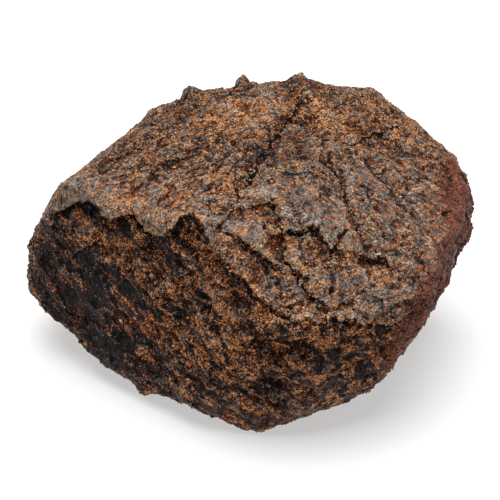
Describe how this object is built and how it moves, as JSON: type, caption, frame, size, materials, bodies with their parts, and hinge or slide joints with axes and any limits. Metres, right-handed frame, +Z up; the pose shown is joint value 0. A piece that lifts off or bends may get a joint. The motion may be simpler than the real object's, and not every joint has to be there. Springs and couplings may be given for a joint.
{
  "type": "meteorite",
  "caption": "Rough angular stony meteorite with broken flat faces, a jagged ridge, ledges, cracks and pits, lying on its flattest side.",
  "frame": {"origin": "under the middle of the stone's box, on the level of the face that it rests on", "axes": "+X along the stone's length to its right end, +Y to its back, +Z up from the face that it rests on"},
  "size_m": [0.1017, 0.0886, 0.0583],
  "materials": {
    "stone": "weathered dark brown crust with orange rust grains, grey patches and black pits, dull with a faint glint"
  },
  "bodies": {
    "root": {"meteorite": "stone"}
  },
  "joints": []
}
